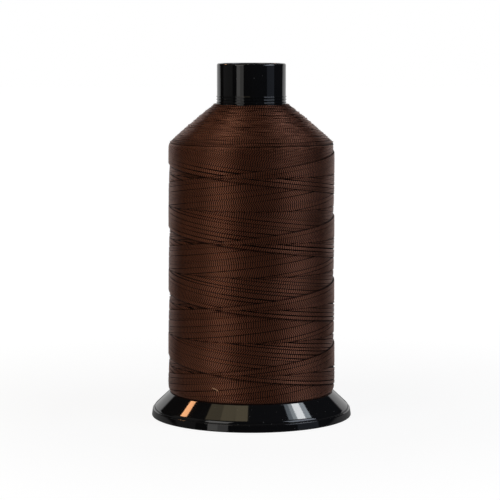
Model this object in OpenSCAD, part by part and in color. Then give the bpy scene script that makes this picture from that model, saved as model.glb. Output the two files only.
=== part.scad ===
// Thread spool with a waisted foot and a full package of precision-wound waxed thread.
// +Z runs up the spool's own axis. The origin is at the centre of the foot's rim, on the table.
// Lengths are in millimetres and angles in degrees.

/* [Barrel] */
// Height of the whole spool, from the table to the lip of the neck
spool_h = 179; // [160:0.5:220]
// Outside diameter of the barrel and of its neck
barrel_d = 34.8; // [32:0.1:42]
// Wall of the barrel
barrel_wall = 1.8; // [1.4:0.1:2.4]
// Rounding of the lip's outer edge
lip_round = 0.95; // [0.3:0.05:1.2]
// Rounding of the lip's inner edge
lip_inner_round = 0.4; // [0.2:0.05:0.6]
// Lead-in chamfer at the barrel's lower end
barrel_chamfer = 0.6; // [0.2:0.1:1]

/* [Neck] */
// Length of bare neck that stands above the thread
neck_len = 20.4; // [14:0.1:30]
// Number of fine moulded rings at the foot of the neck
ring_count = 3; // [1:1:5]
// Spacing of the rings
ring_pitch = 1.45; // [1.2:0.05:2.2]
// Width of a ring at its root
ring_w = 0.8; // [0.5:0.05:1.1]
// Height that a ring stands proud of the neck
ring_proud = 0.3; // [0.15:0.05:0.5]
// Height of the lowest ring's middle above the thread
ring_lift = 0.85; // [0.7:0.05:2.5]
// Depth of the cup in the top of the neck
cup_depth = 9; // [5:0.5:12]

/* [Pin guides] */
// Diameter of the two holes for the pin of a thread stand
pin_hole_d = 12; // [8:0.1:16]
// Length of each guide round the pin
guide_len = 9; // [6:0.5:10.5]
// Wall of each guide
guide_wall = 1.8; // [1.2:0.1:2.4]
// Thickness of the web that carries the upper guide
web_t = 2.2; // [1.5:0.1:3]

/* [Foot] */
// Diameter of the foot over its rim
foot_d = 102; // [96:0.1:120]
// Height of the deck that the thread stands on
foot_h = 12.2; // [11.5:0.1:18]
// How far the deck's edge lies inside the thread's lower edge
deck_inset = 0.9; // [0:0.1:2]
// Wall of the skirt and the rim
foot_wall = 2; // [1.5:0.1:2.5]
// Thickness of the deck
deck_t = 2; // [1.5:0.1:3]
// Height of the upright rim band
rim_h = 3.75; // [2.5:0.05:4]
// Height at which the skirt's slope would meet the root of the ledge
skirt_low_h = 4.75; // [4.4:0.05:6]
// How much wider the rim band is at the table than at its top
rim_draft = 0.55; // [0.2:0.05:1]
// Width of the small ledge on top of the rim band
ledge_w = 0.75; // [0.3:0.05:1.2]
// Rounding where the skirt turns down to the ledge
knuckle_round = 2; // [0.5:0.1:2.4]
// Rounding of the foot's small outer edges
edge_round = 0.35; // [0.15:0.05:0.5]
// Gap between the table and the ribs and hub of the foot
under_gap = 1.2; // [0.8:0.1:2]
// Number of radial ribs under the deck
rib_count = 16; // [12:2:24]
// Thickness of a rib
rib_t = 1.5; // [1:0.1:2]
// Diameter of the ring rib, at the middle of its wall
ring_rib_d = 66; // [54:0.5:72]
// Wall of the socket that holds the barrel
socket_wall = 2; // [1.5:0.1:3]
// Thickness of the floor that the barrel stands on
socket_floor_t = 2; // [1.5:0.1:2.5]
// Radial clearance of the barrel in its socket
socket_fit = 0.05; // [0.02:0.01:0.1]

/* [Thread package] */
// Depth of the thread where it starts, at the neck
shoulder_edge = 1.45; // [1:0.05:3]
// Height of the conical shoulder
shoulder_h = 19.4; // [14:0.1:30]
// Diameter of the package at its lower end
body_low_d = 85.4; // [76:0.1:91]
// How much narrower the package is just under its shoulder
body_taper = 1.6; // [0:0.1:4]
// Rounding between the shoulder and the body
corner_round = 3; // [1:0.1:5]
// Radial clearance between the package's inside and the barrel
package_fit = 0.1; // [0.05:0.01:0.2]

/* [Outer turns] */
// Loops of the outer layer, each one a band of threads that lie side by side
loop_count = 24; // [12:1:24]
// Thickness of the band
band_t = 1.5; // [0.9:0.1:2]
// Gap between one loop of the band and the next
loop_gap = 0.85; // [0.8:0.05:1.2]
// Clearance between the band and the layers under it
layer_gap = 0.15; // [0.1:0.01:0.3]
// Clearance between the band's last loop and the deck
deck_gap = 0.3; // [0.2:0.05:1]
// Direction of the band's two ends, seen from above
wind_start = 90; // [0:5:355]

/* [Hidden] */
plastic_black = [0.07, 0.07, 0.075];
thread_brown = [0.27, 0.14, 0.10];
waxed_brown = [0.33, 0.18, 0.13];
$fn = 96;
arc_steps = 6;
bite = 0.4; // depth that ribs and webs run into the walls they join

barrel_r = barrel_d / 2;
bore_r = barrel_r - barrel_wall;
pin_r = pin_hole_d / 2;
guide_r = pin_r + guide_wall;
foot_r = foot_d / 2;
deck_r = body_low_d / 2 - deck_inset;
lip_out = min(lip_round, barrel_wall * 0.6);
lip_in = min(lip_inner_round, barrel_wall * 0.3);

socket_floor_z = under_gap + socket_floor_t;
socket_r = barrel_r + socket_fit;
web_top_z = spool_h - cup_depth;
thread_top_z = spool_h - neck_len;

// Points of an arc from angle a0 to a1 about the point c
function arc(c, r, a0, a1) =
    [for (i = [0 : arc_steps]) let (a = a0 + (a1 - a0) * i / arc_steps) c + r * [cos(a), sin(a)]];

/* ---- barrel ---- */

function ring_z(i) = thread_top_z + ring_lift + i * ring_pitch;

// A ring's outline from its lower root to its upper root, with a narrow crest
function ring_outline(z) = [
    [barrel_r, z - ring_w / 2],
    [barrel_r + ring_proud * 0.8, z - ring_w / 4],
    [barrel_r + ring_proud, z],
    [barrel_r + ring_proud * 0.8, z + ring_w / 4],
    [barrel_r, z + ring_w / 2]
];

barrel_outline = concat(
    [[bore_r, socket_floor_z], [barrel_r - barrel_chamfer, socket_floor_z]],
    [[barrel_r, socket_floor_z + barrel_chamfer]],
    [for (i = [0 : ring_count - 1]) each ring_outline(ring_z(i))],
    arc([barrel_r - lip_out, spool_h - lip_out], lip_out, 0, 90),
    arc([bore_r + lip_in, spool_h - lip_in], lip_in, 90, 180)
);

module spool_tube() {
    color(plastic_black) difference() {
        union() {
            rotate_extrude() polygon(barrel_outline);
            translate([0, 0, web_top_z - web_t]) cylinder(h = web_t, r = bore_r + bite);
            translate([0, 0, web_top_z - guide_len]) cylinder(h = guide_len, r = guide_r);
        }
        translate([0, 0, web_top_z - guide_len - 1]) cylinder(h = guide_len + 2, r = pin_r);
    }
}

/* ---- foot ---- */

// The skirt slopes down from the deck, turns at the knuckle and ends on the ledge above the rim
rim_top_r = foot_r - rim_draft;
ledge_r = rim_top_r - ledge_w;
skirt_top = [deck_r, foot_h];
skirt_slope = atan2(foot_h - skirt_low_h, ledge_r - deck_r);
skirt_out = [sin(skirt_slope), cos(skirt_slope)];
knuckle_turn = 90 - skirt_slope;
knuckle_r = min(knuckle_round, 0.95 * (skirt_low_h - rim_h) / tan(knuckle_turn / 2));
knuckle_c = [ledge_r - knuckle_r, skirt_low_h - knuckle_r * tan(knuckle_turn / 2)];

// The inside runs parallel to the outside, one wall in
inside_r = rim_top_r - foot_wall;
inside_z = foot_h - (foot_wall + (inside_r - deck_r) * skirt_out[0]) / skirt_out[1];
deck_under_z = foot_h - deck_t;
deck_under_r = deck_r - (foot_wall - deck_t * skirt_out[1]) / skirt_out[0];

foot_outline = concat(
    [[socket_r, foot_h]],
    arc(skirt_top - edge_round * [tan(skirt_slope / 2), 1], edge_round, 90, knuckle_turn),
    arc(knuckle_c, knuckle_r, knuckle_turn, 0),
    [[ledge_r, rim_h]],
    arc([rim_top_r - edge_round, rim_h - edge_round], edge_round, 90, 0),
    arc([foot_r - edge_round, edge_round], edge_round, 0, -90),
    [[inside_r, 0], [inside_r, inside_z], [deck_under_r, deck_under_z], [socket_r, deck_under_z]]
);

// One rib's outline in the radial plane; its ends run into the socket and the skirt
rib_in_r = socket_r + socket_wall - bite;
rib_outline = [
    [rib_in_r, under_gap],
    [inside_r + bite, under_gap],
    [inside_r + bite, inside_z],
    [deck_under_r + bite, deck_under_z + bite / 2],
    [rib_in_r, deck_under_z + bite / 2]
];

module tube_between(z0, z1, r_in, r_out) {
    translate([0, 0, z0]) difference() {
        cylinder(h = z1 - z0, r = r_out);
        translate([0, 0, -1]) cylinder(h = z1 - z0 + 2, r = r_in);
    }
}

module base_foot() {
    color(plastic_black) union() {
        rotate_extrude() polygon(foot_outline);
        tube_between(under_gap, deck_under_z + bite, socket_r, socket_r + socket_wall);
        tube_between(under_gap, deck_under_z + bite, (ring_rib_d - rib_t) / 2, (ring_rib_d + rib_t) / 2);
        tube_between(under_gap, socket_floor_z, pin_r, socket_r + bite);
        tube_between(under_gap, under_gap + guide_len, pin_r, guide_r);
        for (i = [0 : rib_count - 1])
            rotate([90, 0, i * 360 / rib_count])
                linear_extrude(height = rib_t, center = true) polygon(rib_outline);
    }
}

/* ---- thread ---- */

// The package's outside from the neck down: a cone, a rounded corner and a nearly straight body.
// A place on it is given by its distance s from the neck, and a depth under the surface.
shoulder_top = [barrel_r + shoulder_edge, thread_top_z];
corner = [(body_low_d - body_taper) / 2, thread_top_z - shoulder_h];
body_low = [body_low_d / 2, foot_h];
cone_lean = atan2(corner[0] - shoulder_top[0], shoulder_top[1] - corner[1]);
body_lean = atan2(body_low[0] - corner[0], corner[1] - body_low[1]);
turn_angle = cone_lean - body_lean;
corner_cut = corner_round * tan(turn_angle / 2);
cone_len = norm(corner - shoulder_top) - corner_cut;
arc_len = corner_round * turn_angle * PI / 180;
body_len = norm(body_low - corner) - corner_cut;
surface_len = cone_len + arc_len + body_len;

function down(lean) = [sin(lean), -cos(lean)];
function out(lean) = [cos(lean), sin(lean)];
function lean_at(s) =
    s < cone_len ? cone_lean :
    s < cone_len + arc_len ? cone_lean - (s - cone_len) / corner_round * 180 / PI :
    body_lean;
function place_at(s, depth) =
    (s < cone_len ? shoulder_top + s * down(cone_lean) :
     s < cone_len + arc_len ?
        shoulder_top + cone_len * down(cone_lean) + corner_round * (out(lean_at(s)) - out(cone_lean)) :
     body_low - (surface_len - s) * down(body_lean)) - depth * out(lean_at(s));

// The outer layer winds down the package as one band, with 24 rings of 6 sides to a loop
rings_per_loop = 24;
ring_total = loop_count * rings_per_loop;
chord_dip = body_low_d / 2 * (1 - cos(180 / rings_per_loop));
loop_pitch = (surface_len - deck_gap + loop_gap) / (loop_count + 1);
band_w = loop_pitch - loop_gap;
band_depth = band_t / 2 - chord_dip / 2;
inner_depth = band_t + chord_dip / 2 + layer_gap;

// Half width and height of the band's six corners
band_corners = [
    [-band_w / 2, 0], [-band_w / 4, band_t / 2], [band_w / 4, band_t / 2],
    [band_w / 2, 0], [band_w / 4, -band_t / 2], [-band_w / 4, -band_t / 2]
];
side_count = len(band_corners);

function band_ring(i) =
    let (
        s = band_w / 2 + i * loop_pitch / rings_per_loop,
        a = wind_start + i * 360 / rings_per_loop,
        middle = place_at(s, band_depth),
        lean = lean_at(s)
    )
    [for (c = band_corners)
        let (p = middle + c[0] * down(lean) + c[1] * out(lean))
        [p[0] * cos(a), p[0] * sin(a), p[1]]];

// Each end of the band runs on straight for one band thickness
function run_on(ring, before) =
    let (
        step = (ring[0] + ring[3] - before[0] - before[3]) / 2,
        along = step / norm(step) * band_t
    )
    [for (p = ring) p + along];

wound_rings = [for (i = [0 : ring_total]) band_ring(i)];
band_rings = concat(
    [run_on(wound_rings[0], wound_rings[1])],
    wound_rings,
    [run_on(wound_rings[ring_total], wound_rings[ring_total - 1])]
);
last_ring = len(band_rings) - 1;
band_points = [for (ring = band_rings) each ring];

function corner_index(i, j) = i * side_count + j % side_count;
band_sides = [
    for (i = [0 : last_ring - 1], j = [0 : side_count - 1])
        each [
            [corner_index(i, j), corner_index(i + 1, j), corner_index(i + 1, j + 1)],
            [corner_index(i, j), corner_index(i + 1, j + 1), corner_index(i, j + 1)]
        ]
];
band_ends = [
    for (j = [1 : side_count - 2])
        each [
            [corner_index(0, 0), corner_index(0, j), corner_index(0, j + 1)],
            [corner_index(last_ring, 0), corner_index(last_ring, j + 1), corner_index(last_ring, j)]
        ]
];

// Least distance from any loop to the next, over the corners of facing rings
least_gap = min([
    for (i = [0 : ring_total - rings_per_loop], k = [-1 : 1])
        if (i + rings_per_loop + k <= ring_total)
            for (p = wound_rings[i], q = wound_rings[i + rings_per_loop + k]) norm(p - q)
]);
echo(least_gap_between_loops = least_gap);

module thread_outer_layer() {
    color(waxed_brown) polyhedron(points = band_points, faces = concat(band_sides, band_ends));
}

// The layers under the band are one plain solid, as far under the surface everywhere
inner_r = barrel_r + ring_proud + package_fit;
neck_slope = out(cone_lean);
inner_top_z = shoulder_top[1] - (inner_depth + (inner_r - shoulder_top[0]) * neck_slope[0]) / neck_slope[1];
inner_corner = corner - inner_depth * (out(cone_lean) + out(body_lean)) / (1 + cos(turn_angle));
inner_low = body_low - inner_depth * out(body_lean);

module thread_inner_layers() {
    color(thread_brown) rotate_extrude()
        polygon([
            [barrel_r + package_fit, foot_h], [inner_low[0], foot_h], inner_corner,
            [inner_r, inner_top_z], [barrel_r + package_fit, inner_top_z]
        ]);
}

spool_tube();
base_foot();
thread_inner_layers();
thread_outer_layer();
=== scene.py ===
import math
import random

import bmesh
import bpy
import numpy as np
from mathutils import Matrix, Vector


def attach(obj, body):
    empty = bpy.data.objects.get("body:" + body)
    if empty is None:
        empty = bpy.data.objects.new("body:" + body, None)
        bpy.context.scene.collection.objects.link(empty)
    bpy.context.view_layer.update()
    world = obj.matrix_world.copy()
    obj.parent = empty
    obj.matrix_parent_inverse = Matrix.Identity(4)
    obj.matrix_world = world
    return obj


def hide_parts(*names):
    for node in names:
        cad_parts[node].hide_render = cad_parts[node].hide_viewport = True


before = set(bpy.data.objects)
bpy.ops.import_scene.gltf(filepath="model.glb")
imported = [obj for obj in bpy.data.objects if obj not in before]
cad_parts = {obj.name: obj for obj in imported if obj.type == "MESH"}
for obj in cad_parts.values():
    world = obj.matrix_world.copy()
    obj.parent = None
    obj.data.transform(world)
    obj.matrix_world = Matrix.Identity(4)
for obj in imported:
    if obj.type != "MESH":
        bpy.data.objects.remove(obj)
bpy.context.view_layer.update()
print("frame in:", sorted(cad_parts))

scene = bpy.context.scene
scene.view_settings.view_transform = "Standard"
mm = 0.001
nearRing = 2e-5  # metres off a ring within which a vertex belongs to it
samePoint = 1e-6  # metres within which two points are one


# camera, in metres and degrees
camera = {
    "distance": 1.020,  # from the spool's axis
    "height": 0.195,
    "sideways": -0.00072,
    "pitch": 6.19,  # below level
    "lens": 145.22, "sensor": 36,  # mm
    "clip": (0.05, 20),
}
camData = bpy.data.cameras.new("photoCamera")
camData.sensor_width = camera["sensor"]
camData.lens = camera["lens"]
camData.clip_start, camData.clip_end = camera["clip"]
camObject = bpy.data.objects.new("photoCamera", camData)
scene.collection.objects.link(camObject)
camObject.location = (camera["sideways"], -camera["distance"], camera["height"])
camObject.rotation_euler = (math.radians(90 - camera["pitch"]), 0, 0)
scene.camera = camObject
print("camera set")


# pieces and their meshes
def placePiece(name, mesh, material, nodes=()):
    piece = bpy.data.objects.new(name, mesh)
    scene.collection.objects.link(piece)
    mesh.materials.append(material)
    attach(piece, "root")
    if nodes:
        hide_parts(*nodes)


def spinOutline(bm, points, steps):
    # closed outline of (radius, height) in mm, turned once round Z
    verts = [bm.verts.new((r * mm, 0, z * mm)) for r, z in points]
    edges = [bm.edges.new((verts[i], verts[(i + 1) % len(verts)])) for i in range(len(verts))]
    bmesh.ops.spin(
        bm, geom=verts + edges, cent=(0, 0, 0), axis=(0, 0, 1), angle=math.tau, steps=steps,
        use_merge=True, use_duplicate=False,
    )
    bmesh.ops.remove_doubles(bm, verts=bm.verts[:], dist=samePoint)
    bmesh.ops.recalc_face_normals(bm, faces=bm.faces[:])


def between(a, b, share):
    # a point of the outline close to a rounded corner keeps the long face beside it straight in gloss
    return (a[0] + (b[0] - a[0]) * share, a[1] + (b[1] - a[1]) * share)


def ringEdges(bm, r, z):
    # the edges that run round the axis at one radius and height
    def onRing(v):
        return abs(v.co.z - z * mm) < nearRing and abs(math.hypot(v.co.x, v.co.y) - r * mm) < nearRing

    return [e for e in bm.edges if all(onRing(v) for v in e.verts)]


def roundRings(bm, rings):
    # a ring is its radius, its height, its rounding, the degrees it turns through, and segments
    for r, z, rounding, turn, segments in rings:
        offset = rounding * math.tan(math.radians(turn) / 2) * mm
        bmesh.ops.bevel(
            bm, geom=ringEdges(bm, r, z), offset=offset, offset_type="OFFSET", segments=segments,
            profile=0.5, affect="EDGES", material=-1, clamp_overlap=True,
        )


def smoothMesh(bm, name, sharpAngle=32):
    bmesh.ops.recalc_face_normals(bm, faces=bm.faces[:])
    for f in bm.faces:
        f.smooth = True
    for e in bm.edges:
        if len(e.link_faces) == 2 and e.calc_face_angle(0) > math.radians(sharpAngle):
            e.smooth = False
    mesh = bpy.data.meshes.new(name)
    bm.to_mesh(mesh)
    bm.free()
    return mesh


def triangleCount(mesh):
    return sum(len(f.vertices) - 2 for f in mesh.polygons)


# material nodes
def newMaterial(name):
    material = bpy.data.materials.new(name)
    material.use_nodes = True
    tree = material.node_tree
    tree.nodes.clear()
    out = tree.nodes.new("ShaderNodeOutputMaterial")
    return material, tree, out


def addNode(tree, kind, **settings):
    # a setting is one of the node's inputs by its name, or else one of its options
    node = tree.nodes.new(kind)
    for key, value in settings.items():
        if key in node.inputs:
            node.inputs[key].default_value = value
        else:
            setattr(node, key, value)
    return node


def link(tree, a, aOut, b, bIn):
    tree.links.new(a.outputs[aOut], b.inputs[bIn])


def mathNode(tree, operation, *values):
    # each value is a number, or a node with its output
    node = addNode(tree, "ShaderNodeMath", operation=operation)
    for i, value in enumerate(values):
        if isinstance(value, tuple):
            link(tree, *value, node, i)
        else:
            node.inputs[i].default_value = value
    return node


def rangeNode(tree, source, output, start, end, low, high, shape="LINEAR"):
    # low where the source is at its start, high where it is at its end
    node = addNode(tree, "ShaderNodeMapRange", interpolation_type=shape)
    for name, value in (("From Min", start), ("From Max", end), ("To Min", low), ("To Max", high)):
        node.inputs[name].default_value = value
    link(tree, source, output, node, "Value")
    return node


def stretchedCloud(tree, scales, **settings):
    # noise over the piece's own coordinates, with a scale for each axis
    coords = addNode(tree, "ShaderNodeTexCoord")
    stretch = addNode(tree, "ShaderNodeMapping", Scale=scales)
    link(tree, coords, "Object", stretch, "Vector")
    cloud = addNode(tree, "ShaderNodeTexNoise", Scale=1.0, **settings)
    link(tree, stretch, "Vector", cloud, "Vector")
    return cloud


def mixByRay(tree, rays, kind, usual, special):
    # the special shader for one kind of ray, the usual one for all others
    mix = addNode(tree, "ShaderNodeMixShader")
    link(tree, rays, kind, mix, 0)
    link(tree, usual, 0, mix, 1)
    link(tree, special, 0, mix, 2)
    return mix


# black plastic
plasticLook = {
    "colour": (0.0085, 0.0085, 0.0092, 1),
    "roughness": (0.035, 0.07), "cloudScale": 60.0,
    "specular": 0.5,
    "ripple": 0.000006, "rippleScale": 220.0, "rippleStrength": 0.35,
    "dust": (0.10, 0.10, 0.095, 1), "dustScale": 420.0, "dustSize": 0.09,
    "dustFrom": 0.5,  # dust lies only where the cloud is over this
}


def makePlastic():
    look = plasticLook
    material, tree, out = newMaterial("glossBlackPlastic")
    shader = addNode(tree, "ShaderNodeBsdfPrincipled")
    shader.inputs["Specular IOR Level"].default_value = look["specular"]
    coords = addNode(tree, "ShaderNodeTexCoord")
    cloud = addNode(tree, "ShaderNodeTexNoise", Scale=look["cloudScale"], Detail=3.0, Roughness=0.55)
    link(tree, coords, "Object", cloud, "Vector")
    rough = rangeNode(tree, cloud, "Fac", 0, 1, *look["roughness"])
    link(tree, rough, "Result", shader, "Roughness")
    ripple = addNode(tree, "ShaderNodeTexNoise", Scale=look["rippleScale"], Detail=1.0)
    link(tree, coords, "Object", ripple, "Vector")
    bump = addNode(tree, "ShaderNodeBump", Strength=look["rippleStrength"], Distance=look["ripple"])
    link(tree, ripple, "Fac", bump, "Height")
    link(tree, bump, "Normal", shader, "Normal")
    # a few specks of dust
    cells = addNode(tree, "ShaderNodeTexVoronoi", Scale=look["dustScale"])
    link(tree, coords, "Object", cells, "Vector")
    speck = mathNode(tree, "LESS_THAN", (cells, "Distance"), look["dustSize"])
    patchy = mathNode(tree, "GREATER_THAN", (cloud, "Fac"), look["dustFrom"])
    dust = mathNode(tree, "MULTIPLY", (speck, 0), (patchy, 0))
    body = addNode(tree, "ShaderNodeMix", data_type="RGBA")
    link(tree, dust, 0, body, "Factor")
    body.inputs["A"].default_value = look["colour"]
    body.inputs["B"].default_value = look["dust"]
    link(tree, body, "Result", shader, "Base Color")
    link(tree, shader, "BSDF", out, "Surface")
    return material


plastic = makePlastic()


# spool tube, in mm
spoolTube = {
    "height": 179.0, "radius": 17.4, "wall": 1.8, "floor": 3.2, "chamfer": 0.6,
    "ringCount": 3, "ringFirst": 159.45, "ringPitch": 1.45, "ringWidth": 0.8, "ringProud": 0.3,
    "ringSide": 0.8,  # share of its proudness that a ring has half way up its side
    "webTop": 170.0, "webThick": 2.2, "guideLength": 9.0, "guideRadius": 7.8, "pinRadius": 6.0,
    "lipOuter": 0.95, "lipInner": 0.4, "webEdge": 0.4, "pinEdge": 0.3,
    "neckFrom": 6.6, "neckTo": 1.3,  # under the web's top and under the lip, the ends of the plain neck
    "steps": 192,
}


def makeSpoolTube():
    t = spoolTube
    radius, top, web = t["radius"], t["height"], t["webTop"]
    bore = radius - t["wall"]
    side, crest = radius + t["ringProud"] * t["ringSide"], radius + t["ringProud"]
    half = t["ringWidth"] / 2
    outline = [(bore, t["floor"]), (radius - t["chamfer"], t["floor"]), (radius, t["floor"] + t["chamfer"])]
    for i in range(t["ringCount"]):
        z = t["ringFirst"] + i * t["ringPitch"]
        outline += [(radius, z - half), (side, z - half / 2), (crest, z)]
        outline += [(side, z + half / 2), (radius, z + half)]
    outline += [
        (radius, web - t["neckFrom"]), (radius, top - t["neckTo"]), (radius, top), (bore, top), (bore, web),
        (t["pinRadius"], web), (t["pinRadius"], web - t["guideLength"]),
        (t["guideRadius"], web - t["guideLength"]), (t["guideRadius"], web - t["webThick"]),
        (bore, web - t["webThick"]),
    ]
    bm = bmesh.new()
    spinOutline(bm, outline, t["steps"])
    roundRings(bm, [
        (radius, top, t["lipOuter"], 90, 6), (bore, top, t["lipInner"], 90, 4),
        (bore, web, t["webEdge"], 90, 2), (t["pinRadius"], web, t["pinEdge"], 90, 2),
    ])
    mesh = smoothMesh(bm, "spool_tube_body")
    placePiece("spool_tube_body", mesh, plastic, ["spool_tube"])


makeSpoolTube()
print("spool tube made")


# foot, in mm
foot = {
    "rimLow": 51.0, "rimTop": 50.45, "rimHeight": 3.75, "ledge": 49.7, "skirtLow": 4.75,
    "deck": 41.8, "deckHeight": 12.2, "deckUnder": 10.2, "deckUnderRadius": 40.98,
    "inside": 48.45, "insideHeight": 3.175, "under": 1.2, "ringRib": (32.25, 33.75),
    "socket": 17.45, "socketOut": 19.45, "socketFloor": 3.2, "pin": 6.0, "guide": 7.8, "guideTop": 10.2,
    "knuckle": 2.0, "edge": 0.35, "rimInnerEdge": 0.25, "underEdge": 0.3,  # roundings
    "deckTurn": 44.8, "knuckleTurn": 45.2, "rimTopTurn": 82, "rimLowTurn": 98,  # degrees
    "skirtPoints": (0.05, 0.895), "rimPoints": (0.16, 0.84),  # shares of the way down each face
    "ribs": 16, "ribThick": 1.5, "ribEdge": 0.25,
    "ribBite": 0.4, "ribRise": 0.2,  # how far a rib runs into the walls and into the deck
    "steps": 256,
}


def makeRibs():
    # one radial rib, then its turned copies
    f = foot
    bm = bmesh.new()
    low, high = f["under"], f["deckUnder"] + f["ribRise"]
    inner, outer = f["socketOut"] - f["ribBite"], f["inside"] + f["ribBite"]
    slopeTop = f["deckUnderRadius"] + f["ribBite"]
    corners = [(inner, low), (outer, low), (outer, f["insideHeight"]), (slopeTop, high), (inner, high)]
    half = f["ribThick"] / 2
    face = bm.faces.new([bm.verts.new((r * mm, -half * mm, z * mm)) for r, z in corners])
    grown = bmesh.ops.extrude_face_region(bm, geom=[face])
    moved = [g for g in grown["geom"] if isinstance(g, bmesh.types.BMVert)]
    bmesh.ops.translate(bm, verts=moved, vec=(0, 2 * half * mm, 0))
    bmesh.ops.recalc_face_normals(bm, faces=bm.faces[:])
    lower = [
        e for e in bm.edges
        if all(abs(v.co.z - low * mm) < samePoint for v in e.verts)
        and abs(e.verts[0].co.y - e.verts[1].co.y) < samePoint
    ]
    bmesh.ops.bevel(
        bm, geom=lower, offset=f["ribEdge"] * mm, offset_type="OFFSET", segments=2,
        profile=0.5, affect="EDGES", material=-1,
    )
    copies = f["ribs"] - 1
    bmesh.ops.spin(
        bm, geom=bm.verts[:] + bm.edges[:] + bm.faces[:], cent=(0, 0, 0), axis=(0, 0, 1),
        angle=math.tau * copies / f["ribs"], steps=copies, use_duplicate=True,
    )
    mesh = bpy.data.meshes.new("ribs")
    bm.to_mesh(mesh)
    bm.free()
    return mesh


def makeFoot():
    f = foot
    skirtTop, skirtEnd = (f["deck"], f["deckHeight"]), (f["ledge"], f["skirtLow"])
    rimTop, rimEnd = (f["rimTop"], f["rimHeight"]), (f["rimLow"], 0)
    ribIn, ribOut = f["ringRib"]
    outline = [(f["socket"], f["deckHeight"]), skirtTop]
    outline += [between(skirtTop, skirtEnd, share) for share in f["skirtPoints"]]
    outline += [skirtEnd, (f["ledge"], f["rimHeight"]), rimTop]
    outline += [between(rimTop, rimEnd, share) for share in f["rimPoints"]]
    outline += [
        rimEnd, (f["inside"], 0), (f["inside"], f["insideHeight"]), (f["deckUnderRadius"], f["deckUnder"]),
        (ribOut, f["deckUnder"]), (ribOut, f["under"]), (ribIn, f["under"]), (ribIn, f["deckUnder"]),
        (f["socketOut"], f["deckUnder"]), (f["socketOut"], f["under"]), (f["pin"], f["under"]),
        (f["pin"], f["guideTop"]), (f["guide"], f["guideTop"]), (f["guide"], f["socketFloor"]),
        (f["socket"], f["socketFloor"]),
    ]
    bm = bmesh.new()
    spinOutline(bm, outline, f["steps"])
    roundRings(bm, [
        (*skirtTop, f["edge"], f["deckTurn"], 3), (*skirtEnd, f["knuckle"], f["knuckleTurn"], 8),
        (*rimTop, f["edge"], f["rimTopTurn"], 4), (*rimEnd, f["edge"], f["rimLowTurn"], 4),
        (f["inside"], 0, f["rimInnerEdge"], 90, 2),
    ])
    undersides = (ribIn, ribOut, f["socketOut"], f["pin"])
    roundRings(bm, [(r, f["under"], f["underEdge"], 90, 2) for r in undersides])
    ribs = makeRibs()
    bm.from_mesh(ribs)
    bpy.data.meshes.remove(ribs)
    placePiece("base_foot_body", smoothMesh(bm, "base_foot_body"), plastic, ["base_foot"])


makeFoot()
print("foot made")


# waxed thread
threadLook = {
    "colour": (0.108, 0.037, 0.020),
    "roughness": (0.27, 0.60),  # on the crests, and deep between the threads
    "tint": (1.0, 0.42, 0.255),
    "specular": 1.0,
    "ior": 1.9,
    "plyLay": 1.1698,  # mm along the thread from one ply mark to the next
    "twistDrift": ((2.5, 97, 0), (1.1, 37, 1)),  # waves in their count: size, marks in a radian, phase
    "plyDepth": 0.00004,
    "plyPaintedLight": (0.04, 2.4),  # painted shade in the grooves between plies and painted highlight on their crests, as shares of the colour
    "cloudShade": (0.93, 1.07), "cloudScales": (50, 50, 300),
    "deepPaintedShade": 0.0,  # how much of the colour the painted shade leaves deep between the threads
}


def makeThreadMaterial():
    look = threadLook
    material, tree, out = newMaterial("waxedThread")
    shader = addNode(tree, "ShaderNodeBsdfPrincipled", IOR=look["ior"])
    shader.inputs["Specular IOR Level"].default_value = look["specular"]
    uv = addNode(tree, "ShaderNodeUVMap", uv_map="UVMap")
    split = addNode(tree, "ShaderNodeSeparateXYZ")
    link(tree, uv, "UV", split, "Vector")
    # slanted ply marks: along the thread plus once round it
    slant = mathNode(tree, "ADD", (split, "X"), (split, "Y"))
    turns = mathNode(tree, "MULTIPLY", (slant, 0), math.pi)
    wave = mathNode(tree, "SINE", (turns, 0))
    ridge = mathNode(tree, "MULTIPLY", (wave, 0), (wave, 0))
    # the crest's sharp peak sets where each ply's painted highlight lies
    crest = mathNode(tree, "MULTIPLY", (ridge, 0), (ridge, 0))
    bump = addNode(tree, "ShaderNodeBump", Strength=1.0, Distance=look["plyDepth"])
    link(tree, ridge, 0, bump, "Height")
    link(tree, bump, "Normal", shader, "Normal")
    # dye and wax vary slowly over the package
    cloud = stretchedCloud(tree, look["cloudScales"], Detail=3.0, Roughness=0.6)
    # painted shade from the piece's depth attribute; it darkens colour and gloss, and sets the roughness
    hollow = addNode(tree, "ShaderNodeAttribute", attribute_name="depth")
    # painted shade and highlight on the plies, random dye tone, and painted shade deep between the threads
    shades = [
        rangeNode(tree, crest, 0, 0, 1, *look["plyPaintedLight"]),
        rangeNode(tree, cloud, "Fac", 0, 1, *look["cloudShade"]),
        rangeNode(tree, hollow, "Fac", 0, 1, 1, look["deepPaintedShade"]),
    ]
    total = shades[0]
    for other in shades[1:]:
        total = mathNode(tree, "MULTIPLY", (total, 0), (other, 0))
    # the painted shade and highlight scale both the colour and the gloss's tint
    for key, socket in (("colour", "Base Color"), ("tint", "Specular Tint")):
        shaded = addNode(tree, "ShaderNodeVectorMath", operation="SCALE")
        shaded.inputs[0].default_value = look[key]
        link(tree, total, 0, shaded, "Scale")
        link(tree, shaded, 0, shader, socket)
    rough = rangeNode(tree, hollow, "Fac", 0, 1, *look["roughness"])
    link(tree, rough, "Result", shader, "Roughness")
    link(tree, shader, "BSDF", out, "Surface")
    return material


waxedThread = makeThreadMaterial()


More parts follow.
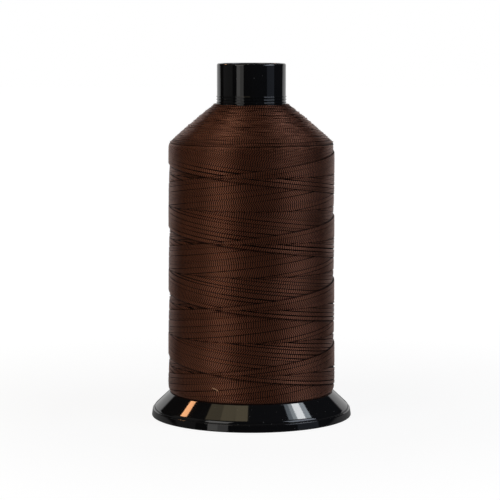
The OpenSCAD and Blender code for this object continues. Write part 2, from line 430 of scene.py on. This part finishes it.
# thread package, in mm; a stroke is one run of the thread between the package's two ends
package = {
    "threadRadius": 0.34,
    "lead": 32.32,  # rise of one stroke in one turn
    "perLayer": 45,  # double strokes that fill one layer
    "pieces": 5,
    "layerStep": 0.62,  # how far one crossing lifts the next thread
    "fallFront": 121.0, "riseFront": 126.5,  # heights of the newest threads at the front
    "turns": 7,  # leads between the two fronts and twice the lower turn
    "strokeLeads": 4,  # leads from the lower turn to the upper one
    "topZone": 0.34, "lowZone": 0.75,  # radians over which a stroke turns back
    "fallDrop": (0.46, -0.34), "riseDrop": (0.42, 0.26),  # step at each front, and its change to the sides
    "dropFade": 6.5,  # how far from the front the step fades away
    "dive": 0.018,  # share of a turn in which a thread dives under a front
    "fallGroups": (2, 3, 3, 3, 4), "riseGroups": (3, 4, 5, 7),  # threads that gather side by side
    "fallGap": 0.72, "riseGap": 0.38,  # what they leave open to the next group
    "openMiddle": 0.55, "openMost": 1.15,  # share of the gap that is open
    "openWaves": ((0.5, 0.8), (0.35, 1.9), (0.2, 4.3)),  # size, and rate along the stroke
    "tightAbove": 133.0, "tightFade": 7,
    "scatter": 0.014,
    "wander": 0.012, "wanderWaves": ((1, 0.9), (0.8, 2.3), (0.5, 5.1)),
    "swap": 1.8,  # crossings over which two threads change places
    "rounding": (0.1, 0.2, 0.4, 0.2, 0.1),  # shares of a point and its neighbours
    "busySwap": 1.6, "busyDive": 0.02, "busyAge": (0.02, 0.999),  # where a stroke keeps all its points
    "pointsPerTurn": 288,
    "seed": 12,
}
# heights and radii of the package's surface
bodyProfile = (
    (10.0, 40.9), (12.6, 41.65), (13.3, 42.07), (14.3, 42.47), (16.9, 42.70), (32.8, 42.52), (58.6, 42.34),
    (84.0, 42.22), (110.0, 42.16), (131.0, 42.12), (136.0, 42.05), (138.0, 41.9), (139.4, 41.6),
    (141.0, 40.8),
)


def bodyRadius(z):
    zs, rs = zip(*bodyProfile)
    return np.interp(z, zs, rs)


def smoothStep(x):
    x = np.clip(x, 0, 1)
    return x * x * (3 - 2 * x)


def addWaves(start, parts, phases, s):
    total = start
    for (size, rate), phase in zip(parts, phases):
        total = total + size * np.sin(s * rate + phase)
    return total


def frontDrops(fallAge, riseAge, angle):
    # how far the surface lies under its full height, just past the front of each family
    p = package
    side = np.sin(angle)
    fall = (p["fallDrop"][0] + p["fallDrop"][1] * side) * np.exp(-(1 - fallAge) * p["lead"] / p["dropFade"])
    rise = (p["riseDrop"][0] + p["riseDrop"][1] * side) * np.exp(-(1 - riseAge) * p["lead"] / p["dropFade"])
    return fall, rise


def fallAgeAt(angle, z):
    # age of the falling thread that passes a place, as a share of one layer; 0 is the newest
    return ((z - package["fallFront"]) / package["lead"] + angle / math.tau) % 1.0


def riseAgeAt(angle, z):
    return ((package["riseFront"] - z) / package["lead"] + angle / math.tau) % 1.0


def turnedPoint(angle, r, z):
    # angle 0 faces the front and grows to the right
    return np.stack([r * np.sin(angle), -r * np.cos(angle), z], axis=1) * mm


def strandMesh(name, paths, radius):
    # tubes of equal length along the paths; UV.x counts ply marks
    curve = bpy.data.curves.new(name, "CURVE")
    curve.dimensions = "3D"
    curve.bevel_depth = radius * mm
    curve.bevel_resolution = 1  # six sides
    curve.use_fill_caps = True
    for path in paths:
        spline = curve.splines.new("POLY")
        spline.points.add(len(path) - 1)
        spline.points.foreach_set("co", np.column_stack([path, np.ones(len(path))]).ravel())
    holder = bpy.data.objects.new(name, curve)
    scene.collection.objects.link(holder)
    graph = bpy.context.evaluated_depsgraph_get()
    mesh = bpy.data.meshes.new_from_object(holder.evaluated_get(graph))
    bpy.data.objects.remove(holder)
    bpy.data.curves.remove(curve)
    mesh.name = name
    mesh.polygons.foreach_set("use_smooth", [True] * len(mesh.polygons))
    steps = np.linalg.norm(np.diff(paths[0], axis=0), axis=1) / mm
    even = np.concatenate([[0], np.cumsum(steps)]) / threadLook["plyLay"]
    # the twist tightens and loosens a little along the thread
    along = even
    for size, perRadian, phase in threadLook["twistDrift"]:
        along = along + size * np.sin(even / perRadian + phase)
    uvs = np.empty(len(mesh.loops) * 2)
    layer = mesh.uv_layers["UVMap"].data
    layer.foreach_get("uv", uvs)
    uvs = uvs.reshape(-1, 2)
    uvs[:, 0] = np.interp(uvs[:, 0], np.linspace(0, 1, len(along)), along)
    layer.foreach_set("uv", uvs.ravel())
    return mesh


# painted shade in the hollows between the threads; depths in mm under the surface
paintedShade = {
    "darkAt": 0.52,  # where it is darkest
    "endDip": 0.35, "endHeights": (15.5, 135.5), "endFade": 3,  # the surface dips at both ends
    "fallCrease": (0.70, -0.30), "riseCrease": (0.50, 0.50),  # painted shadow at each front, and its change
    "creaseOff": 0.3, "creaseWidth": 0.36, "creaseDepth": 0.1,
    "swapOffset": 0.5, "swapDark": (0.95, -0.1), "swapWidth": 0.75, "swapFrom": 0.02, "swapDepth": 0.10,
    "dashDark": (0.35, 0.65), "dashLength": 0.75,  # painted shade in the dashes that each thread makes of a hollow
}


def bodyPaintedShade(angle, r, z):
    p, h = package, paintedShade
    fallAge, riseAge = fallAgeAt(angle, z), riseAgeAt(angle, z)
    fallDrop, riseDrop = frontDrops(fallAge, riseAge, angle)
    low, top = h["endHeights"]
    ends = h["endDip"] * (smoothStep((z - top) / h["endFade"]) + smoothStep((low - z) / h["endFade"]))
    deep = bodyRadius(z) - fallDrop - riseDrop - ends - r
    dark = smoothStep(deep / h["darkAt"])
    side = np.sin(angle)
    # painted shadow in a crease just past each front
    for age, (middle, change) in ((fallAge, h["fallCrease"]), (riseAge, h["riseCrease"])):
        away = (1 - age) * p["lead"] - h["creaseOff"]
        crease = np.clip(middle + change * side, 0, 1) * np.exp(-(away / h["creaseWidth"]) ** 2)
        # painted shadow: only what lies under the front's top thread is in its shade
        dark = np.maximum(dark, crease * smoothStep(deep / h["creaseDepth"] + fallDrop + riseDrop))
    # painted shade in the small hollows where two threads change places
    swap = ((fallAge - riseAge + 0.5 + h["swapOffset"] / p["perLayer"]) % 1.0 - 0.5) * p["perLayer"]
    hollow = (h["swapDark"][0] + h["swapDark"][1] * side) * np.exp(-(swap / h["swapWidth"]) ** 2)
    hollow = hollow * smoothStep((deep - h["swapFrom"]) / h["swapDepth"])
    dash = smoothStep(h["dashLength"] + h["dashLength"] * np.cos(math.tau * p["perLayer"] * fallAge))
    return np.maximum(dark, hollow * (h["dashDark"][0] + h["dashDark"][1] * dash))


def shoulderPaintedShade(r, z):
    # painted shade, by the depth under the cone over the shoulder's crests
    s = shoulder
    slope = (s["topRadius"] - s["lowRadius"]) / (s["topHeight"] - s["lowHeight"])
    cone = s["lowRadius"] + s["crestOut"] + (z - s["lowHeight"]) * slope
    return smoothStep((cone - r) / s["darkAt"])


def markPaintedShade(mesh, onShoulder=False):
    # how dark every point is painted, 0 to 1: painted shade deep between the threads
    co = np.empty(len(mesh.vertices) * 3)
    mesh.vertices.foreach_get("co", co)
    x, y, z = (co.reshape(-1, 3) / mm).T
    r = np.hypot(x, y)
    dark = shoulderPaintedShade(r, z) if onShoulder else bodyPaintedShade(np.arctan2(x, -y), r, z)
    # the attribute named depth holds the painted shade
    layer = mesh.attributes.new("depth", "FLOAT", "POINT")
    layer.data.foreach_set("value", np.clip(dark, 0, 1))


def makeGroups(sizes, rng):
    # share of the gap by which each thread leans towards its group, and the group's own phases
    leans = []
    while len(leans) < package["perLayer"]:
        n = rng.choice(sizes)
        phases = [rng.uniform(0, math.tau) for _ in package["openWaves"]]
        leans += [(((n - 1) / 2 - i) / n, phases) for i in range(n)]
    return leans


def strokePath(firstStroke, strokeCount, groups, rng):
    # the thread's own way over the outermost layer, from an older double stroke to a newer one
    p = package
    lead, count = p["lead"], p["perLayer"]
    pitch = lead / count
    rise = lead / math.tau
    low = (p["fallFront"] + p["riseFront"] - p["turns"] * lead) / 2
    high = low + p["strokeLeads"] * lead - pitch / 2
    perStroke = math.tau * (high - low) / lead
    newestTop = math.tau * (p["fallFront"] + pitch / 2 - high) / lead
    points = []
    for k in range(firstStroke, firstStroke + strokeCount):
        age = (count - k - 0.5) / count  # 0 is the newest
        topAngle = newestTop - (count - 1 - k) * 2 * perStroke
        for falling in (True, False):
            start = topAngle if falling else topAngle + perStroke
            n = int(p["pointsPerTurn"] * perStroke / math.tau)
            s = np.linspace(0, perStroke, n, endpoint=False)
            ang = start + s
            toEnd = np.minimum(s, perStroke - s)
            firstHalf = s < perStroke / 2
            nearTop = firstHalf if falling else ~firstHalf
            # height on the helix, with each end rounded off
            zone = np.where(nearTop, p["topZone"], p["lowZone"])
            inZone = toEnd < zone
            cut = np.where(inZone, rise * (toEnd * toEnd / (2 * zone) - toEnd + zone / 2), 0)
            z = (high - rise * s) if falling else (low + rise * s)
            z = z + np.where(nearTop, -cut, cut)
            # sideways scatter, fading into each turn
            lean, tune = groups[falling][k]
            opening = addWaves(p["openMiddle"], p["openWaves"], tune, s)
            opening = np.clip(opening * smoothStep((p["tightAbove"] - z) / p["tightFade"]), 0, p["openMost"])
            shift = lean * (-p["fallGap"] if falling else p["riseGap"]) * opening + rng.gauss(0, p["scatter"])
            phases = [rng.uniform(0, math.tau) for _ in range(4)]  # one more than the waves take
            wander = p["wander"] * addWaves(0, p["wanderWaves"], phases, s)
            z = z + (shift + wander) * smoothStep(toEnd / zone)
            # the newer thread lies on top, and the two change places between one crossing and the next
            other = riseAgeAt(ang, z) if falling else fallAgeAt(ang, z)
            fallDrop, riseDrop = frontDrops(age if falling else other, other if falling else age, ang)
            change = 0.5 / count if falling else -0.5 / count
            swap = (other - age - change) * count / p["swap"]
            t = np.where(firstHalf, s, s - perStroke)  # since or before the nearest turn
            level = np.where(inZone, smoothStep((t + zone) / (2 * zone)), smoothStep(swap + 0.5))
            step = p["layerStep"]
            down = fallDrop + riseDrop + step * (1 - level)
            # just before the other family's front every thread dives under it
            dive = smoothStep((other - 1 + p["dive"]) / p["dive"]) * np.where(inZone, 0, 1)
            ownDrop = fallDrop if falling else riseDrop
            down = down * (1 - dive) + np.maximum(down, ownDrop + step) * dive
            r = bodyRadius(z) - p["threadRadius"] - down
            diving = (dive > p["busyDive"]) & (other < p["busyAge"][1])
            busy = (np.abs(swap) < p["busySwap"]) | diving | (other < p["busyAge"][0])
            points.append(np.column_stack([ang, r, z, busy]))
    way = np.concatenate(points)
    # the stiff waxed thread rounds off every step
    reach = len(p["rounding"]) // 2
    way[:, 1] = np.convolve(np.pad(way[:, 1], reach, mode="edge"), p["rounding"], mode="valid")
    # half the points are enough where it runs level
    order = np.arange(len(way))
    way = way[(order % 2 == 0) | (way[:, 3] > 0.5) | (order == len(way) - 1)]
    return turnedPoint(way[:, 0], way[:, 1], way[:, 2])


def makeOuterStrokes():
    p = package
    rng = random.Random(p["seed"])
    each = p["perLayer"] // p["pieces"]
    groups = {True: makeGroups(p["fallGroups"], rng), False: makeGroups(p["riseGroups"], rng)}
    for i in range(p["pieces"]):
        name = f"thread_strokes_{i + 1}"
        mesh = strandMesh(name, [strokePath(i * each, each, groups, rng)], p["threadRadius"])
        markPaintedShade(mesh)
        nodes = ["thread_outer_layer"] if i == p["pieces"] - 1 else ()
        placePiece(name, mesh, waxedThread, nodes)
        print("strokes", i + 1, "triangles", triangleCount(mesh))


makeOuterStrokes()


# conical shoulder, in mm: the arcs in which the threads turn back, layer upon layer
shoulder = {
    "layers": 24,
    "topRadius": 18.5, "topHeight": 158.15,
    "lowRadius": 40.55, "lowHeight": 139.55,
    "swell": (0.25, 0.50),  # how far it stands out, and what is added half way up
    "fewerAbove": 17,  # arcs that the top layer has less than the lowest
    "crestOut": 1.35,  # from a layer's middle out to the cone over the crests
    "darkAt": 1.5,
    "layerScatter": 0.07, "scatter": 0.16, "radialScatter": 0.05,
    "spread": 0.25,  # how unevenly the arcs are spaced, as a share of one
    "reach": 0.60,  # radians either side of the turn
    "climb": 0.42,  # radians either side of it over which an arc climbs on its neighbours
    "bend": 0.82,
    "pointsPerArc": 15,
    "seed": 5,
}


def makeShoulder():
    s = shoulder
    p = package
    rng = random.Random(s["seed"])
    rise = p["lead"] / math.tau
    bm = bmesh.new()
    for k in range(s["layers"]):
        share = k / (s["layers"] - 1)
        radius = s["lowRadius"] + (s["topRadius"] - s["lowRadius"]) * share
        radius = radius + s["swell"][0] + s["swell"][1] * math.sin(math.pi * share)
        height = s["lowHeight"] + (s["topHeight"] - s["lowHeight"]) * share + rng.gauss(0, s["layerScatter"])
        count = round(p["perLayer"] - s["fewerAbove"] * share)
        start = rng.uniform(0, math.tau)
        paths = []
        for j in range(count):
            middle = start + math.tau * (j + rng.gauss(0, s["spread"])) / count
            t = np.linspace(-s["reach"], s["reach"], s["pointsPerArc"])
            z = height + rng.gauss(0, s["scatter"]) - rise * t * t / (2 * s["bend"])
            level = smoothStep((t + s["climb"]) / (2 * s["climb"]))
            r = radius + rng.gauss(0, s["radialScatter"]) + p["layerStep"] * (level - 0.5)
            paths.append(turnedPoint(middle + t, r, z))
        layer = strandMesh("shoulderLayer", paths, p["threadRadius"])
        bm.from_mesh(layer)
        bpy.data.meshes.remove(layer)
    mesh = bpy.data.meshes.new("thread_shoulder")
    bm.to_mesh(mesh)
    bm.free()
    markPaintedShade(mesh, onShoulder=True)
    placePiece("thread_shoulder", mesh, waxedThread)
    print("shoulder triangles", triangleCount(mesh))


makeShoulder()


# loose fibre that lies on the lowest turns, in mm
fibre = {
    "radius": 0.20,
    "start": (-26.7, 20.05), "end": (-22.5, 18.80),  # angle in degrees, and height
    "arch": 0.15,
    "proud": 0.30,  # its middle over the threads' crests
    "points": 14,
    "colour": (0.85, 0.52, 0.27, 1), "roughness": 0.5,
}


def makeFibre():
    share = np.linspace(0, 1, fibre["points"])
    angle, z = (np.interp(share, (0, 1), ends) for ends in zip(fibre["start"], fibre["end"]))
    z = z + fibre["arch"] * np.sin(math.pi * share)
    path = turnedPoint(np.radians(angle), bodyRadius(z) + fibre["proud"], z)
    mesh = strandMesh("stray_fibre", [path], fibre["radius"])
    material, tree, out = newMaterial("paleFibre")
    shader = addNode(tree, "ShaderNodeBsdfPrincipled", Roughness=fibre["roughness"])
    shader.inputs["Base Color"].default_value = fibre["colour"]
    link(tree, shader, "BSDF", out, "Surface")
    placePiece("stray_fibre", mesh, material)


makeFibre()


# bed of inner layers under the threads, in mm
bed = {
    "depth": 1.95,  # under the package's surface
    "inner": 17.45, "low": 12.25, "lowRadius": 41.75, "lowOut": 0.6,
    "shoulder": ((39.7, 137.5), (17.9, 156.9)), "top": 157.4,  # radii and heights
    "steps": 128,
    "roughness": 0.75, "cloudScales": (90, 90, 1400),
    # far darker than the thread's own colour: painted shade for the inner layers seen between the outer
    # threads
    "shades": ((0.35, (0.006, 0.0025, 0.0015, 1)), (0.7, (0.024, 0.009, 0.005, 1))),
}


def makeBedMaterial():
    material, tree, out = newMaterial("threadBed")
    shader = addNode(tree, "ShaderNodeBsdfPrincipled", Roughness=bed["roughness"])
    cloud = stretchedCloud(tree, bed["cloudScales"], Detail=2.0)
    ramp = addNode(tree, "ShaderNodeValToRGB")
    for stop, (position, colour) in zip(ramp.color_ramp.elements, bed["shades"]):
        stop.position = position
        stop.color = colour
    link(tree, cloud, "Fac", ramp, "Fac")
    link(tree, ramp, "Color", shader, "Base Color")
    link(tree, shader, "BSDF", out, "Surface")
    return material


def makeBed():
    b = bed
    outline = [(b["inner"], b["low"]), (b["lowRadius"] - b["depth"] + b["lowOut"], b["low"])]
    outline += [(r - b["depth"], z) for z, r in bodyProfile[2:-3]]  # without the rounded ends
    outline += [*b["shoulder"], (b["inner"], b["top"])]
    bm = bmesh.new()
    spinOutline(bm, outline, b["steps"])
    mesh = smoothMesh(bm, "thread_bed")
    placePiece("thread_bed", mesh, makeBedMaterial(), ["thread_inner_layers"])


makeBed()
print("thread package made")


# white wall behind the spool, dark room in front
wall = {
    "light": 0.50, "mirrored": 0.72,  # its brightness as light, and in gloss
    "front": 0.01,
    "lean": 0.47, "start": 0.60, "end": 0.67,  # where it begins, as Y less lean times Z
}


def makeWorld():
    world = bpy.data.worlds.new("studio")
    world.use_nodes = True
    scene.world = world
    tree = world.node_tree
    tree.nodes.clear()
    out = tree.nodes.new("ShaderNodeOutputWorld")
    coords = addNode(tree, "ShaderNodeTexCoord")
    split = addNode(tree, "ShaderNodeSeparateXYZ")
    link(tree, coords, "Generated", split, "Vector")
    lean = mathNode(tree, "MULTIPLY_ADD", (split, "Z"), -wall["lean"], (split, "Y"))
    rays = addNode(tree, "ShaderNodeLightPath")
    rooms = []
    for key in ("light", "mirrored"):
        glow = rangeNode(tree, lean, 0, wall["start"], wall["end"], wall["front"], wall[key], "SMOOTHSTEP")
        room = addNode(tree, "ShaderNodeBackground", Color=(1, 1, 1, 1))
        link(tree, glow, "Result", room, "Strength")
        rooms.append(room)
    unseen = mixByRay(tree, rays, "Is Glossy Ray", *rooms)
    white = addNode(tree, "ShaderNodeBackground", Color=(1, 1, 1, 1), Strength=1.0)
    link(tree, mixByRay(tree, rays, "Is Camera Ray", unseen, white), 0, out, "Surface")


# floor, in metres from the spool's axis
floor = {
    "size": 12.0, "paint": 0.22,
    "near": 0.10, "far": 0.40, "glowNear": 0.90, "glowFar": 1.0,  # how white the camera sees it
    "behindFrom": 0.56, "behindTo": 0.64,  # where it turns white in gloss, as Y over the distance
    "dimFrom": 0.2, "dimTo": 0.7, "dimmest": 0.25,
    "closeFrom": 0.09, "closeTo": 0.15, "closeGloss": 0.20,
}


def makeFloor():
    f = floor
    bm = bmesh.new()
    bmesh.ops.create_grid(bm, x_segments=1, y_segments=1, size=f["size"] / 2)
    mesh = bpy.data.meshes.new("floor")
    bm.to_mesh(mesh)
    bm.free()
    piece = bpy.data.objects.new("floor", mesh)
    scene.collection.objects.link(piece)
    material, tree, out = newMaterial("paleFloor")
    rays = addNode(tree, "ShaderNodeLightPath")
    coords = addNode(tree, "ShaderNodeTexCoord")
    away = addNode(tree, "ShaderNodeVectorMath", operation="LENGTH")
    link(tree, coords, "Object", away, 0)
    # paint that keeps the shadow, and white for the camera
    paint = addNode(tree, "ShaderNodeBsdfDiffuse", Color=(f["paint"],) * 3 + (1,))
    glow = rangeNode(tree, away, "Value", f["near"], f["far"], f["glowNear"], f["glowFar"])
    seen = mathNode(tree, "MULTIPLY", (rays, "Is Camera Ray"), (glow, "Result"))
    white = addNode(tree, "ShaderNodeEmission", Color=(1, 1, 1, 1))
    link(tree, seen, 0, white, "Strength")
    both = addNode(tree, "ShaderNodeAddShader")
    link(tree, paint, 0, both, 0)
    link(tree, white, 0, both, 1)
    # in gloss the floor is white behind the spool and dark towards the room
    way = addNode(tree, "ShaderNodeVectorMath", operation="NORMALIZE")
    link(tree, coords, "Object", way, 0)
    split = addNode(tree, "ShaderNodeSeparateXYZ")
    link(tree, way, 0, split, "Vector")
    behind = rangeNode(tree, split, "Y", f["behindFrom"], f["behindTo"], 0, wall["mirrored"], "SMOOTHSTEP")
    fading = rangeNode(tree, away, "Value", f["dimFrom"], f["dimTo"], f["dimmest"], 1)
    level = mathNode(tree, "MULTIPLY", (behind, "Result"), (fading, "Result"))
    # close to the foot it is grey all round
    close = rangeNode(tree, away, "Value", f["closeFrom"], f["closeTo"], f["closeGloss"], 0, "SMOOTHSTEP")
    brighter = mathNode(tree, "MAXIMUM", (level, 0), (close, "Result"))
    mirrored = addNode(tree, "ShaderNodeEmission", Color=(1, 1, 1, 1))
    link(tree, brighter, 0, mirrored, "Strength")
    link(tree, mixByRay(tree, rays, "Is Glossy Ray", both, mirrored), 0, out, "Surface")
    mesh.materials.append(material)


# cards of light round the spool
studio = {
    "reach": 1.1,  # metres to every card
    "middle": 0.09,  # from this height on the spool's axis
    # in degrees: azimuth, which is 0 on the camera's side and grows to the right, elevation, roll, width
    # and height; then glow, colour and what the card lights
    "cards": {
        "keySoftbox": (-42, 27, 0, 28, 32, 2.1, (1.0, 0.97, 0.93), "plasticPieces"),
        "keyLow": (-44, 2, 0, 12, 13.5, 1.2, (1.0, 0.98, 0.95), "plasticPieces"),
        "keyLowInner": (-32, 2, 0, 12, 13.5, 0.75, (1.0, 0.98, 0.95), "plasticPieces"),
        "sideSoftbox": (65, 27, 0, 34, 32, 3.4, (0.88, 0.97, 1.12), "plasticPieces"),
        "sideLow": (67, 2, 0, 28, 13.5, 0.22, (0.80, 0.92, 1.15), "plasticPieces"),
        "threadKey": (-43, 20, 0, 30, 48, 1.64, (1.0, 0.97, 0.93), "threadPieces"),
        "threadSide": (65, 21, 0, 37, 50, 1.2, (0.88, 0.97, 1.12), "threadPieces"),
        "threadFar": (98, 21, 0, 28, 50, 0.28, (0.88, 0.97, 1.12), "threadPieces"),
        "threadTop": (0, 72, 0, 60, 60, 0.16, (1.0, 0.92, 0.84), "threadPieces"),
        "threadLeft": (-88, 24, 0, 44, 50, 0.32, (1.0, 0.85, 0.68), "threadPieces"),
        "leftFill": (-86, 28, 0, 40, 34, 0.15, (1.0, 0.95, 0.90), "plasticPieces"),
        "leftLow": (-86, 2, 0, 41, 13.5, 0.10, (1.0, 1.0, 1.0), "plasticPieces"),
        "overheadLeft": (-90.1, 62.6, 51.6, 12.2, 6, 0.75, (1.0, 0.83, 0.52), "plasticPieces"),
        "overheadMiddle": (-70.5, 71.4, 46.5, 10.9, 6, 1.2, (1.0, 0.83, 0.52), "plasticPieces"),
        "overheadRight": (-39.2, 77.9, 28.9, 9.7, 6, 1.35, (1.0, 0.83, 0.52), "plasticPieces"),
        "copperLamp": (-118.5, 41.2, 49.9, 6.7, 9, 14.5, (1.0, 0.47, 0.21), "plasticPieces"),
        "windowEdge": (90.8, 62.0, -51.2, 3.8, 5, 2.1, (0.78, 0.90, 1.0), "plasticPieces"),
        "windowSoft": (95.6, 59.1, -51.5, 3.7, 5, 4.6, (0.85, 0.94, 1.0), "plasticPieces"),
        "windowBright": (101.9, 54.8, -51.4, 7.4, 5, 13.5, (0.95, 0.98, 1.0), "plasticPieces"),
        "windowFar": (108.4, 49.8, -50.9, 5.4, 5, 4.6, (0.82, 0.92, 1.0), "plasticPieces"),
    },
}


def groupPieces():
    # each card lights one group, so the plastic's small bright cards don't speckle the thread
    groups = {name: bpy.data.collections.new(name) for name in ("plasticPieces", "threadPieces")}
    for piece in [o for o in scene.objects if o.type == "MESH"]:
        isPlastic = piece.data.materials and piece.data.materials[0] == plastic  # the floor isn't
        groups["plasticPieces" if isPlastic else "threadPieces"].objects.link(piece)
    return groups


def makeCard(name, azimuth, elevation, roll, width, height, glow, colour, lit):
    far = studio["reach"]
    lamp = bpy.data.lights.new(name, "AREA")
    lamp.shape = "RECTANGLE"
    lamp.size = 2 * far * math.tan(math.radians(width) / 2)
    lamp.size_y = 2 * far * math.tan(math.radians(height) / 2)
    lamp.energy = glow * math.pi * lamp.size * lamp.size_y
    lamp.color = colour
    card = bpy.data.objects.new(name, lamp)
    scene.collection.objects.link(card)
    a, e = math.radians(azimuth), math.radians(elevation)
    way = Vector((math.sin(a) * math.cos(e), -math.cos(a) * math.cos(e), math.sin(e)))
    card.location = Vector((0, 0, studio["middle"])) + way * far
    turned = (-way).to_track_quat("-Z", "Y").to_matrix() @ Matrix.Rotation(math.radians(roll), 3, "Z")
    card.rotation_euler = turned.to_euler()
    card.visible_camera = False
    card.light_linking.receiver_collection = lit


makeFloor()
pieceGroups = groupPieces()
for cardName, (*values, groupName) in studio["cards"].items():
    makeCard(cardName, *values, pieceGroups[groupName])
makeWorld()
print("stage and light set")
